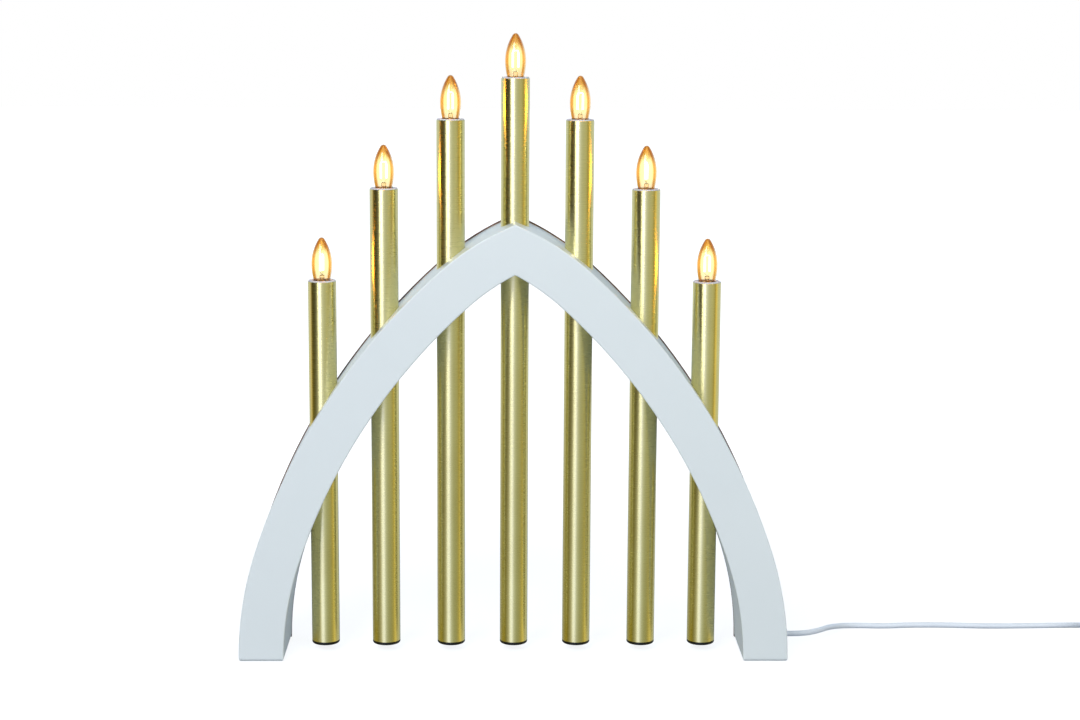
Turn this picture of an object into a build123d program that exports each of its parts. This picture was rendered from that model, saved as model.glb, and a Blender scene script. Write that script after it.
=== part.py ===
from build123d import *
import math
import os

# Candle arch: a hollow pointed arch of painted wood that carries seven lamp tubes.
# Millimetres. X runs to the right, Y to the back and Z up.
# The origin lies on the table, under the middle of the arch.

# Arch outline, from the foot to the crown of one side
arch_width = 392.0
arch_depth = 64.0
band_width = 32.0
foot_arc_radius = 258.0
shoulder_arc_radius = 460.0
crown_arc_radius = 190.0
foot_arc_turn = 18
shoulder_arc_turn = 30
quarter_turn = 90

# Sheets and strips that make the hollow arch
panel_thickness = 3.0
cover_thickness = 3.0
cover_overhang = 0.8
rim_thickness = 3.0
foot_block_height = 18.0
cover_block_length = 14.0
cover_block_depth = 18.0
cover_block_turns = (33.5, 43.2, 56.5)

# Screws of the back cover
screw_diameter = 3.0
screw_head_diameter = 5.8
screw_head_angle = 90
screw_length = 13.0
screw_tip_length = 2.5
screw_hole_clearance = 0.1

# Lamp tubes, from the outer pair to the middle one
tube_diameter = 20.0
tube_wall = 0.8
tube_foot_gap = 5.1
middle_tube_top = 412.5
tube_place_shares = (0.695, 0.4705, 0.231, 0)
tube_top_shares = (0.6535, 0.812, 0.9295, 1)
tube_hole_clearance = 0.2
wire_hole_diameter = 7.0

# End caps of the tubes
end_cap_height = 2.3
end_cap_round = 1.2
end_cap_plug_length = 8.0
end_cap_wall = 1.2
end_cap_clearance = 0.1

# Lampholder, with its heights measured down from the top of the tube
holder_length = 24.0
holder_clearance = 0.1
holder_flange_height = 0.8
holder_flange_setback = 0.4
holder_mouth_clearance = 0.45
holder_mouth_depth = 4.4
holder_skirt_wall = 1.5
holder_floor_depth = 18.0
holder_floor_thickness = 1.6
screw_sleeve_length = 9.0
screw_sleeve_wall = 0.35
screw_sleeve_clearance = 0.185
seat_clearance = 0.05
lug_thickness = 0.4
lug_width = 2.4
lug_spacing = 7.2
lug_reach = 3.0
lug_slot_clearance = 0.2
contact_gap = 0.3

# Candle lamp with its screw cap, measured from the top of the tube
lamp_height = 31.0
lamp_widest_height = 12.0
lamp_diameter = 14.5
lamp_side_radius = 44.0
lamp_glass_wall = 0.6
lamp_shoulder_depth = 2.6
lamp_neck_diameter = 8.6
lamp_neck_depth = 7.0
lamp_stem_diameter = 3.4
lamp_stem_height = 4.6
cap_diameter = 9.53
cap_top_depth = 3.0
cap_length = 9.6
cap_wall = 0.28
cap_lip = 1.4
insulator_drop = 1.3
insulator_thickness = 1.2
solder_tip_diameter = 3.2
solder_tip_height = 1.1
filament_diameter = 1.4
filament_length = 10.5
filament_spacing = 3.9
filament_foot_height = 7.3
filament_lead_diameter = 0.5
lamp_turns = (65, 10, 35, 0, 15, 70, 20)

# Wiring inside the arch
wire_diameter = 1.8
wire_sides = 6
wire_spacing = 4.0
wire_bend_radius = 4.0
wire_run_depth = 16.0
return_wire_depth = 22.0
return_wire_bend_share = 0.4
connector_width = 14.0
connector_depth = 10.0
connector_height = 20.0
connector_foot = 40.0
connector_pitch = 6.0
connector_bore_depth = 5.0
connector_edge_round = 1.0
connector_lead_in = 14.0
bore_clearance = 0.1

# Mains cord, its bush and its clamp
cord_diameter = 4.0
cord_exit_height = 7.6
cord_exit_depth = 12.0
cord_bend_share = 0.45
bush_reach = 5.0
bush_flange_diameter = 9.0
bush_flange_thickness = 1.5
bush_tip_diameter = 6.4
bush_sleeve_diameter = 7.0
bush_sleeve_length = 14.0
bush_clearance = 0.1
cord_inner_bend_radius = 5.6
cord_rise_place = 22.0
clamp_length = 7.0
clamp_thickness = 1.2
clamp_foot_width = 4.4
clamp_place = 2.0
clamp_screw_diameter = 2.0
clamp_screw_head_diameter = 3.6
clamp_screw_head_height = 1.2
clamp_screw_length = 8.0

# Route of the free cord along the table, chosen by hand from the bush to the coil
cord_route = [
    (201.0, 12.0, 7.6),
    (213.5, 12.0, 7.6),
    (225.0, 18.0, 8.0),
    (234.5, 31.5, 6.6),
    (246.5, 46.3, 3.4),
    (262.0, 51.3, 2.0),
    (279.0, 49.6, 2.0),
    (300.0, 52.6, 2.0),
    (328.0, 52.2, 2.0),
    (358.0, 49.4, 2.0),
    (389.0, 50.6, 2.0),
    (421.0, 52.0, 2.0),
    (452.0, 52.0, 2.0),
]

# Put away coil, wound clockwise from the outside, and the plug beside it
coil_middle = (456.0, 23.7)
coil_outer_radius = 28.3
coil_pitch = 4.6
coil_layer_rise = 4.6
coil_layers = 4
coil_sides = 8
coil_layer_turns = 2.1875
coil_tail_level = 12.0
coil_tail_drop_length = 24.0
plug_axis_height = 7.0
plug_width = 35.0
plug_thickness = 13.6
plug_length = 30.0
plug_waist_width = 24.0
plug_cord_end_width = 15.0
plug_edge_round = 3.0
plug_relief_length = 22.0
plug_relief_diameter = 9.0
plug_relief_tip_diameter = 5.4
pin_diameter = 4.0
pin_length = 19.0
pin_spacing = 18.6
pin_sleeve_length = 10.0
pin_sleeve_diameter = 3.4
pin_core_diameter = 2.6
pin_root = 8.0
pin_tip_round = 1.2

# Sizes that follow from the ones above
half_width = arch_width / 2
front = -arch_depth / 2
back = arch_depth / 2
panel_back = front + panel_thickness
cover_front = back - cover_thickness
cavity = (rim_thickness, band_width - rim_thickness)
tube_radius = tube_diameter / 2
tube_bore_radius = tube_radius - tube_wall
tube_hole_radius = tube_radius + tube_hole_clearance
tube_foot = tube_foot_gap + end_cap_height
crown_start = foot_arc_turn + shoulder_arc_turn
cord_radius = cord_diameter / 2
wire_radius = wire_diameter / 2

sides = [(half_width * p, middle_tube_top * t) for p, t in zip(tube_place_shares, tube_top_shares)]
tubes = [(-x, top) for x, top in sides] + sides[-2::-1]
right_tubes = [x for x, top in tubes if x >= 0]

names = []


def save(builder, label):
    """Label one finished piece and write it."""
    builder.part.label = label
    names.append(label)
    export_step(builder.part, f"parts/{label}.step")


def arcs_of_side():
    """Centre, radius and last turn of the three arcs that make the right side's outline."""
    radii = (foot_arc_radius, shoulder_arc_radius, crown_arc_radius)
    ends = (foot_arc_turn, crown_start, quarter_turn)
    x, z = half_width - foot_arc_radius, 0
    arcs = []
    for number, (radius, end) in enumerate(zip(radii, ends)):
        arcs.append((x, z, radius, end))
        if number < 2:
            turn = math.radians(end)
            x += (radius - radii[number + 1]) * math.cos(turn)
            z += (radius - radii[number + 1]) * math.sin(turn)
    return arcs


def band_point(turn, depth):
    """Place on the right side where the outline has turned so far, so deep inside it."""
    for x, z, radius, end in arcs_of_side():
        if turn <= end:
            angle = math.radians(turn)
            return x + (radius - depth) * math.cos(angle), z + (radius - depth) * math.sin(angle)


def height_inside(x, depth):
    """Height at which a line so deep inside the outline passes a place across the arch."""
    for centre, z, radius, end in arcs_of_side():
        angle = math.acos(min(1, max(-1, (abs(x) - centre) / (radius - depth))))
        if math.degrees(angle) <= end:
            return z + (radius - depth) * math.sin(angle)


def band_edge(depth):
    """Draw one edge of the right side, so deep inside the outline, past the middle."""
    foot = JernArc((half_width - depth, 0), (0, 1), foot_arc_radius - depth, foot_arc_turn)
    shoulder = JernArc(foot @ 1, foot % 1, shoulder_arc_radius - depth, shoulder_arc_turn)
    crown = JernArc(shoulder @ 1, shoulder % 1, crown_arc_radius - depth, quarter_turn - crown_start)
    over = Line(crown @ 1, crown @ 1 - Vector(half_width, 0))
    return foot @ 0, over @ 1


def half_band(plane, near, far):
    """Face of the right side between two depths inside the outline, cut at the middle."""
    with BuildSketch(plane) as face:
        with BuildLine():
            outer_foot, outer_top = band_edge(near)
            inner_foot, inner_top = band_edge(far)
            Line(outer_foot, inner_foot)
            Line(outer_top, inner_top)
        make_face()
        split(bisect_by=Plane.YZ, keep=Keep.TOP)
    return face.sketch


def plane_at(y):
    """Upright plane across the arch, which extrudes towards the viewer."""
    return Plane.XZ.offset(-y)


def easy_radii(points, share):
    """Fillet radii that round each corner of a route over such a share of its shorter run."""
    radii = []
    for before, point, after in zip(points, points[1:], points[2:]):
        turn = math.radians((point - before).get_angle(after - point))
        shorter = min((point - before).length, (after - point).length)
        radii.append(share * shorter / math.tan(turn / 2))
    return radii


def sweep_tube(points, radii, diameter, sides=0):
    """Tube along straight runs that are joined by tangent arcs, round or with so many sides."""
    with BuildPart() as run:
        with BuildLine() as route:
            FilletPolyline(*points, radius=radii)
        with BuildSketch(Plane(origin=route.line @ 0, z_dir=route.line % 0)):
            if sides:
                RegularPolygon(diameter / 2, sides)
            else:
                Circle(diameter / 2)
        sweep(path=route.wire())
    return run.part, route.wire().length


os.makedirs("parts", exist_ok=True)

# Front panel: one flat arch, whose edges show as the crisp front corners
with BuildPart() as front_panel:
    extrude(half_band(plane_at(panel_back), 0, band_width), amount=panel_thickness)
    mirror(about=Plane.YZ)
save(front_panel, "front_panel")

# Bent rims, which meet in a mitre at the crown, with the holes that the tubes pass
for name, near, far in (
    ("outer_rim", 0, rim_thickness),
    ("inner_rim", band_width - rim_thickness, band_width),
):
    with BuildPart() as right_rim:
        extrude(half_band(plane_at(cover_front), near, far), amount=cover_front - panel_back)
        with Locations(*[(x, 0) for x in right_tubes]):
            Hole(tube_hole_radius)
        if name == "outer_rim":
            with Locations(Plane((half_width, cord_exit_depth, cord_exit_height), z_dir=(1, 0, 0))):
                Hole(bush_sleeve_diameter / 2 + bush_clearance, depth=2 * rim_thickness)
    with BuildPart() as left_rim:
        extrude(half_band(plane_at(cover_front), near, far), amount=cover_front - panel_back)
        with Locations(*[(x, 0) for x in right_tubes]):
            Hole(tube_hole_radius)
        mirror(about=Plane.YZ, mode=Mode.REPLACE)
    save(right_rim, f"{name}_right")
    save(left_rim, f"{name}_left")

# Blocks that close the feet, the right one with a slot for the cord
foot_turn = math.degrees(math.asin(foot_block_height / 2 / (foot_arc_radius - band_width / 2)))
with BuildPart() as foot_block:
    with BuildSketch(plane_at(cover_front)):
        add(half_band(plane_at(cover_front), *cavity))
        with Locations((half_width, foot_block_height / 2)):
            Rectangle(arch_width, foot_block_height, mode=Mode.INTERSECT)
    extrude(amount=cover_front - panel_back)

screw_turns = (foot_turn, *cover_block_turns)
screw_places = [band_point(turn, band_width / 2) for turn in screw_turns]
screw_places += [(-x, z) for x, z in screw_places]
screw_planes = [Plane((x, back, z), x_dir=(-1, 0, 0), z_dir=(0, 1, 0)) for x, z in screw_places]
pilot_radius = screw_diameter / 2 + seat_clearance
cord_slot_width = cord_diameter + 2 * bush_clearance

with BuildPart() as foot_block_left:
    mirror(foot_block.part, about=Plane.YZ)
    with Locations(*screw_planes):
        Hole(pilot_radius, depth=screw_length)
save(foot_block_left, "foot_block_left")

slot_start = half_width - cord_rise_place - cord_slot_width / 2
slot_foot = cord_exit_height - bush_sleeve_diameter / 2 - bush_clearance
with BuildPart() as foot_block_right:
    add(foot_block.part)
    with Locations(*screw_planes):
        Hole(pilot_radius, depth=screw_length)
    with Locations((slot_start, cord_exit_depth - cord_inner_bend_radius, slot_foot)):
        Box(
            arch_width,
            cord_inner_bend_radius + bush_sleeve_diameter / 2 + bush_clearance,
            foot_block_height,
            align=(Align.MIN, Align.MIN, Align.MIN),
            mode=Mode.SUBTRACT,
        )
    clamp_screw_planes = [
        Plane((half_width - cord_rise_place + side, clamp_place - clamp_length / 2, foot_block_height))
        for side in (
            -cord_radius - clamp_thickness - clamp_foot_width / 2,
            cord_radius + clamp_thickness + clamp_foot_width / 2,
        )
    ]
    with Locations(*clamp_screw_planes):
        Hole(clamp_screw_diameter / 2 + seat_clearance, depth=clamp_screw_length)
save(foot_block_right, "foot_block_right")

# Blocks between the rims, behind the tubes, that take the screws of the back cover
with BuildPart() as cover_blocks:
    for turn in cover_block_turns:
        with BuildSketch(plane_at(cover_front)):
            add(half_band(plane_at(cover_front), *cavity))
            with Locations(Location((*band_point(turn, band_width / 2), 0), (0, 0, turn))):
                Rectangle(2 * band_width, cover_block_length, mode=Mode.INTERSECT)
        extrude(amount=cover_block_depth)
    mirror(about=Plane.YZ)
    with Locations(*screw_planes):
        Hole(pilot_radius, depth=screw_length)
save(cover_blocks, "cover_blocks")

# Back cover, which stands a little proud of the outer rim
with BuildPart() as back_cover:
    extrude(half_band(plane_at(back), -cover_overhang, band_width), amount=cover_thickness)
    mirror(about=Plane.YZ)
    with Locations(*screw_planes):
        CounterSinkHole(
            screw_diameter / 2 + screw_hole_clearance,
            screw_head_diameter / 2 + seat_clearance,
            counter_sink_angle=screw_head_angle,
        )
save(back_cover, "back_cover")

head_height = (screw_head_diameter - screw_diameter) / 2 / math.tan(math.radians(screw_head_angle / 2))
from_top = (Align.CENTER, Align.CENTER, Align.MAX)
with BuildPart() as back_cover_screws:
    with Locations(*screw_planes):
        Cone(screw_diameter / 2, screw_head_diameter / 2, head_height, align=from_top)
        Cylinder(screw_diameter / 2, screw_length - screw_tip_length, align=from_top)
    with Locations(*[plane.offset(screw_tip_length - screw_length) for plane in screw_planes]):
        Cone(0, screw_diameter / 2, screw_tip_length, align=from_top)
save(back_cover_screws, "back_cover_screws")

# Lamp tubes, each with a hole for the wires where it crosses the hollow of the arch
crossings = [height_inside(x, band_width / 2) for x, top in tubes]
for number, ((x, top), crossing) in enumerate(zip(tubes, crossings), 1):
    with BuildPart() as candle_tube:
        with BuildSketch(Plane.XY.offset(tube_foot)):
            with Locations((x, 0)):
                Circle(tube_radius)
                Circle(tube_bore_radius, mode=Mode.SUBTRACT)
        extrude(amount=top - tube_foot)
        with Locations(Plane((x, -tube_radius, crossing), z_dir=(0, -1, 0))):
            Hole(wire_hole_diameter / 2, depth=tube_radius)
    save(candle_tube, f"candle_tube_{number}")

# Push-in caps that close the tubes below
from_bottom = (Align.CENTER, Align.CENTER, Align.MIN)
cap_plug_radius = tube_bore_radius - end_cap_clearance
with BuildPart() as tube_end_caps:
    with Locations(*[(x, 0, tube_foot_gap) for x, top in tubes]):
        Cylinder(tube_radius, end_cap_height, align=from_bottom)
    fillet(tube_end_caps.edges().group_by(Axis.Z)[0], end_cap_round)
    with Locations(*[(x, 0, tube_foot) for x, top in tubes]):
        Cylinder(cap_plug_radius, end_cap_plug_length, align=from_bottom)
        Cylinder(
            cap_plug_radius - end_cap_wall, end_cap_plug_length, align=from_bottom, mode=Mode.SUBTRACT
        )
save(tube_end_caps, "tube_end_caps")

# Lampholder body: flange on the tube's edge, stepped bore for the lamp, floor and open skirt
lamp_radius = lamp_diameter / 2


def lamp_side_at(height):
    """Radius of the lamp's glass at a height beside its widest place."""
    return lamp_radius - lamp_side_radius + math.sqrt(
        lamp_side_radius**2 - (height - lamp_widest_height) ** 2
    )


cap_radius = cap_diameter / 2
mouth_radius = lamp_side_at(holder_flange_height) + holder_mouth_clearance
sleeve_radius = cap_radius + screw_sleeve_clearance
sleeve_outer = sleeve_radius + screw_sleeve_wall
sleeve_seat = sleeve_outer + seat_clearance
sleeve_foot = holder_mouth_depth + screw_sleeve_length
chamber_radius = sleeve_radius - screw_sleeve_wall
holder_radius = tube_bore_radius - holder_clearance
flange_radius = tube_radius - holder_flange_setback
skirt_radius = holder_radius - holder_skirt_wall
floor_under = holder_floor_depth + holder_floor_thickness
lug_place = lug_spacing / 2
sleeve_lug_place = (sleeve_radius + sleeve_outer) / 2
with BuildPart() as lampholder:
    with BuildSketch(Plane.XZ):
        with BuildLine():
            Polyline(
                (mouth_radius, holder_flange_height),
                (flange_radius, holder_flange_height),
                (flange_radius, 0),
                (holder_radius, 0),
                (holder_radius, -holder_length),
                (skirt_radius, -holder_length),
                (skirt_radius, -floor_under),
                (0, -floor_under),
                (0, -holder_floor_depth),
                (chamber_radius, -holder_floor_depth),
                (chamber_radius, -sleeve_foot),
                (sleeve_seat, -sleeve_foot),
                (sleeve_seat, -holder_mouth_depth),
                (mouth_radius, -holder_mouth_depth),
                close=True,
            )
        make_face()
    revolve(axis=Axis.Z)
    slot_thickness = lug_thickness + 2 * lug_slot_clearance
    slot_width = lug_width + 2 * lug_slot_clearance
    with Locations((sleeve_lug_place, 0, -sleeve_foot), (-lug_place, 0, -holder_floor_depth)):
        Box(
            slot_thickness,
            slot_width,
            holder_floor_depth,
            align=(Align.CENTER, Align.CENTER, Align.MAX),
            mode=Mode.SUBTRACT,
        )

tube_tops = [(x, 0, top) for x, top in tubes]
with BuildPart() as lampholder_bodies:
    with Locations(*tube_tops):
        add(lampholder.part)
save(lampholder_bodies, "lampholder_bodies")

# Screw sleeve of the lampholder, with its lug bent in under the floor
lug_end = holder_length + lug_reach
with BuildPart() as screw_sleeve:
    with Locations((0, 0, -sleeve_foot)):
        Cylinder(sleeve_outer, screw_sleeve_length, align=from_bottom)
        Cylinder(sleeve_radius, screw_sleeve_length, align=from_bottom, mode=Mode.SUBTRACT)
    with BuildSketch(Plane.XZ):
        with BuildLine():
            Polyline(
                (sleeve_lug_place, -sleeve_foot),
                (sleeve_lug_place, -floor_under - lug_thickness),
                (lug_place, -floor_under - lug_thickness - sleeve_lug_place + lug_place),
                (lug_place, -lug_end),
            )
        trace(line_width=lug_thickness)
    extrude(amount=lug_width / 2, both=True)
with BuildPart() as lampholder_sleeves:
    with Locations(*tube_tops):
        add(screw_sleeve.part)
save(lampholder_sleeves, "lampholder_sleeves")

# Spring contact on the floor of the lampholder, just under the lamp's solder tip
tip_foot = cap_top_depth + cap_length + insulator_drop + solder_tip_height
contact_top = tip_foot + contact_gap + lug_thickness / 2
contact_foot = holder_floor_depth - lug_thickness / 2
with BuildPart() as spring_contact:
    with BuildSketch(Plane.XZ):
        with BuildLine():
            Polyline(
                (solder_tip_diameter / 2, -contact_top),
                (0, -contact_top),
                (-lug_place / 2, -contact_foot),
                (-lug_place, -contact_foot),
                (-lug_place, -lug_end),
            )
        trace(line_width=lug_thickness)
    extrude(amount=lug_width / 2, both=True)
with BuildPart() as lampholder_contacts:
    with Locations(*tube_tops):
        add(spring_contact.part)
save(lampholder_contacts, "lampholder_contacts")

# Candle lamp: a closed glass, pointed above, with the stem of its filament inside
side_centre = lamp_radius - lamp_side_radius
nose_above = lamp_height - lamp_widest_height
nose_radius = (lamp_side_radius**2 - side_centre**2 - nose_above**2) / (
    2 * (lamp_side_radius - nose_above)
)
nose_height = lamp_height - nose_radius
nose_turn = math.degrees(math.atan2(nose_height - lamp_widest_height, -side_centre))
shoulder_turn = math.degrees(math.asin((lamp_widest_height + lamp_shoulder_depth) / lamp_side_radius))
neck_radius = lamp_neck_diameter / 2
stem_radius = lamp_stem_diameter / 2


def lamp_side(inset):
    """Draw a side of the glass from the shoulder to the tip, so deep inside its outer face."""
    side = CenterArc(
        (side_centre, lamp_widest_height),
        lamp_side_radius - inset,
        -shoulder_turn,
        shoulder_turn + nose_turn,
    )
    CenterArc((0, nose_height), nose_radius - inset, nose_turn, quarter_turn - nose_turn)
    return side @ 0


with BuildPart() as lamp_glass:
    with BuildSketch(Plane.XZ):
        with BuildLine():
            outer_shoulder = lamp_side(0)
            inner_shoulder = lamp_side(lamp_glass_wall)
            Line((0, lamp_height - lamp_glass_wall), (0, lamp_height))
            Polyline(
                outer_shoulder,
                (neck_radius, -cap_top_depth - seat_clearance),
                (neck_radius, -lamp_neck_depth),
                (0, -lamp_neck_depth),
                (0, lamp_stem_height),
                (stem_radius, lamp_stem_height),
                (stem_radius, -lamp_neck_depth + lamp_glass_wall),
                inner_shoulder,
            )
        make_face()
    revolve(axis=Axis.Z)

# Screw cap of the lamp, turned in below around the insulating disc
cap_foot = cap_top_depth + cap_length
insulator_radius = cap_radius - cap_lip
with BuildPart() as lamp_cap:
    with Locations((0, 0, -cap_foot)):
        Cylinder(cap_radius, cap_length, align=from_bottom)
    with Locations((0, 0, -cap_foot + cap_wall)):
        Cylinder(cap_radius - cap_wall, cap_length, align=from_bottom, mode=Mode.SUBTRACT)
    Hole(insulator_radius + seat_clearance)
    fillet(lamp_cap.edges().group_by(Axis.Z)[0].sort_by(SortBy.RADIUS)[-1], cap_wall)

# Insulating disc and solder tip, round about the lamp's axis
disc_radius = cap_radius - cap_wall - screw_sleeve_clearance
with BuildPart() as lamp_contact:
    with Locations((0, 0, -cap_foot + cap_wall + seat_clearance)):
        Cylinder(disc_radius, insulator_thickness, align=from_bottom)
    with Locations((0, 0, -cap_foot + cap_wall + seat_clearance)):
        Cylinder(insulator_radius, cap_wall + seat_clearance, align=from_top)
    with Locations((0, 0, -cap_foot)):
        Cone(
            solder_tip_diameter / 2, insulator_radius, insulator_drop, align=from_top
        )
with BuildPart() as solder_tip:
    with Locations((0, 0, -cap_foot - insulator_drop)):
        Cylinder(solder_tip_diameter / 2, solder_tip_height, align=from_top)
    fillet(solder_tip.edges().group_by(Axis.Z)[0], solder_tip_height / 2)

# Two glowing rods on their leads, joined by a bridge at the top
rod_place = filament_spacing / 2
rod_top = filament_foot_height + filament_length
bridge_rise = filament_diameter
with BuildPart() as lamp_filament:
    with Locations((-rod_place, 0, filament_foot_height), (rod_place, 0, filament_foot_height)):
        Cylinder(filament_diameter / 2, filament_length, align=from_bottom)
    with BuildLine() as leads:
        FilletPolyline(
            (-stem_radius / 2, 0, lamp_stem_height),
            (-stem_radius / 2, 0, (lamp_stem_height + filament_foot_height) / 2),
            (-rod_place, 0, filament_foot_height),
            (-rod_place, 0, rod_top + bridge_rise),
            (rod_place, 0, rod_top + bridge_rise),
            (rod_place, 0, filament_foot_height),
            (stem_radius / 2, 0, (lamp_stem_height + filament_foot_height) / 2),
            (stem_radius / 2, 0, lamp_stem_height),
            radius=filament_lead_diameter,
        )
    with BuildSketch(Plane((-stem_radius / 2, 0, lamp_stem_height))):
        Circle(filament_lead_diameter / 2)
    sweep(path=leads.wire())

for number, ((x, top), turn) in enumerate(zip(tubes, lamp_turns), 1):
    place = Location((x, 0, top), (0, 0, turn))
    for label, pieces in (
        ("glass", [lamp_glass]),
        ("cap", [lamp_cap]),
        ("contact", [lamp_contact, solder_tip]),
        ("filament", [lamp_filament]),
    ):
        with BuildPart() as placed:
            with Locations(place):
                for piece in pieces:
                    add(piece.part)
        save(placed, f"bulb_{number}_{label}")

# Connector in the right leg, against the front panel
connector_x, connector_z = band_point(
    math.degrees(math.asin((connector_foot + connector_height / 2) / foot_arc_radius)), band_width / 2
)
connector_y = panel_back + connector_depth / 2
connector_top = connector_foot + connector_height
bore_radius = wire_radius + bore_clearance
pole_places = (connector_x - connector_pitch / 2, connector_x + connector_pitch / 2)
with BuildPart() as wire_connector:
    with Locations((connector_x, connector_y, connector_foot)):
        Box(connector_width, connector_depth, connector_height, align=from_bottom)
    fillet(wire_connector.edges().filter_by(Axis.Z), connector_edge_round)
    with Locations(*[(x, connector_y, connector_top) for x in pole_places]):
        Hole(bore_radius, depth=connector_bore_depth)
save(wire_connector, "wire_connector")

# Wires from lamp to lamp, in series, and the return wire along the whole arch
wire_top = lug_end
wire_place = wire_spacing / 2
wire_runs = []
for (x, top), height, (x_next, top_next), height_next in zip(
    tubes, crossings, tubes[1:], crossings[1:]
):
    points = [
        (x + lug_place, 0, top - wire_top),
        (x + wire_place, 0, height),
        (x + wire_place, -wire_run_depth, height),
        (x_next - wire_place, -wire_run_depth, height_next),
        (x_next - wire_place, 0, height_next),
        (x_next - lug_place, 0, top_next - wire_top),
    ]
    wire_runs.append((points, wire_bend_radius))
last_x, last_top = tubes[-1]
last_height = crossings[-1]
end_points = [
    (last_x + lug_place, 0, last_top - wire_top),
    (last_x + wire_place, 0, last_height),
    (last_x + wire_place, -wire_run_depth, last_height),
    (pole_places[1], connector_y, connector_top + connector_lead_in),
    (pole_places[1], connector_y, connector_top - connector_bore_depth),
]
wire_runs.append((end_points, wire_bend_radius))
first_x, first_top = tubes[0]
return_points = [
    (first_x - lug_place, 0, first_top - wire_top),
    (first_x - wire_place, 0, crossings[0]),
    (first_x - wire_place, -return_wire_depth, crossings[0]),
    *[(x, -return_wire_depth, height) for (x, top), height in zip(tubes[1:], crossings[1:])],
    (pole_places[0], connector_y, connector_top + connector_lead_in),
    (pole_places[0], connector_y, connector_top - connector_bore_depth),
]
return_route = [Vector(*point) for point in return_points]
return_radii = [wire_bend_radius, wire_bend_radius]
return_radii += easy_radii(return_route[2:-1], return_wire_bend_share)
return_radii.append(wire_bend_radius)
wire_runs.append((return_points, return_radii))
with BuildPart() as series_wiring:
    for points, radii in wire_runs:
        add(sweep_tube(points, radii, wire_diameter, wire_sides)[0])
save(series_wiring, "series_wiring")

# Mains cord inside the foot: through the bush, up the slot, over the block and up to the connector
bush_mouth = half_width + bush_reach
cord_rise_x = half_width - cord_rise_place
cord_over_height = foot_block_height + cord_radius
inner_points = [
    (bush_mouth, cord_exit_depth, cord_exit_height),
    (cord_rise_x, cord_exit_depth, cord_exit_height),
    (cord_rise_x, cord_exit_depth, cord_over_height),
    (cord_rise_x, connector_y, cord_over_height),
    (cord_rise_x, connector_y, connector_foot),
]
inner_part, inner_length = sweep_tube(inner_points, cord_inner_bend_radius, cord_diameter)
with BuildPart() as cord_inner_end:
    add(inner_part)
save(cord_inner_end, "cord_inner_end")

# Bush in the outer rim: tapered outside, with a flange and a sleeve inside the foot
rim_face = half_width
with BuildPart() as cord_bush:
    with BuildSketch(Plane.XY.offset(cord_exit_height)):
        with BuildLine():
            Polyline(
                (bush_mouth, cord_exit_depth + cord_radius + bush_clearance),
                (bush_mouth, cord_exit_depth + bush_tip_diameter / 2),
                (rim_face + bush_flange_thickness, cord_exit_depth + bush_sleeve_diameter / 2),
                (rim_face + bush_flange_thickness, cord_exit_depth + bush_flange_diameter / 2),
                (rim_face, cord_exit_depth + bush_flange_diameter / 2),
                (rim_face, cord_exit_depth + bush_sleeve_diameter / 2),
                (rim_face - bush_sleeve_length, cord_exit_depth + bush_sleeve_diameter / 2),
                (rim_face - bush_sleeve_length, cord_exit_depth + cord_radius + bush_clearance),
                close=True,
            )
        make_face()
    revolve(axis=Axis((0, cord_exit_depth, cord_exit_height), (1, 0, 0)))
save(cord_bush, "cord_bush")

# Clamp that holds the cord down on the foot block, and its screws
saddle_radius = cord_radius + bush_clearance
saddle_outer = saddle_radius + clamp_thickness
clamp_half = cord_radius + clamp_thickness + clamp_foot_width
with BuildPart() as cord_clamp:
    with BuildSketch(plane_at(clamp_place)):
        with Locations((cord_rise_x, foot_block_height + clamp_thickness / 2)):
            Rectangle(2 * clamp_half, clamp_thickness)
        with Locations((cord_rise_x, cord_over_height / 2 + foot_block_height / 2)):
            Rectangle(2 * saddle_outer, cord_radius)
        with Locations((cord_rise_x, cord_over_height)):
            Circle(saddle_outer)
            Circle(saddle_radius, mode=Mode.SUBTRACT)
        with Locations((cord_rise_x, foot_block_height)):
            Rectangle(
                2 * saddle_radius, 2 * cord_radius, mode=Mode.SUBTRACT
            )
            Rectangle(
                2 * clamp_half,
                2 * saddle_outer,
                align=(Align.CENTER, Align.MAX),
                mode=Mode.SUBTRACT,
            )
    extrude(amount=clamp_length)
    with Locations(*[plane.offset(clamp_thickness) for plane in clamp_screw_planes]):
        Hole(clamp_screw_diameter / 2 + seat_clearance, depth=2 * clamp_thickness)
save(cord_clamp, "cord_clamp")

with BuildPart() as cord_clamp_screws:
    with Locations(*[plane.offset(clamp_thickness) for plane in clamp_screw_planes]):
        Cylinder(clamp_screw_head_diameter / 2, clamp_screw_head_height, align=from_bottom)
        Cylinder(clamp_screw_diameter / 2, clamp_screw_length, align=from_top)
save(cord_clamp_screws, "cord_clamp_screws")

# Free cord on the table, as a tube of straight runs and large arcs
route = [Vector(*point) for point in cord_route]
cord_radii = easy_radii(route, cord_bend_share)
free_part, free_length = sweep_tube(route, cord_radii, cord_diameter)
with BuildPart() as mains_cord:
    add(free_part)
save(mains_cord, "mains_cord")
print("cord radii", [round(radius) for radius in cord_radii])
print("cord volume share", round(free_part.volume / (math.pi * cord_radius**2 * free_length), 4))

# Coil: each layer spirals in or out, and the cord climbs a layer where the spiral reverses
layer_in = coil_pitch * coil_layer_turns
coil_inner_radius = coil_outer_radius - layer_in


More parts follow.
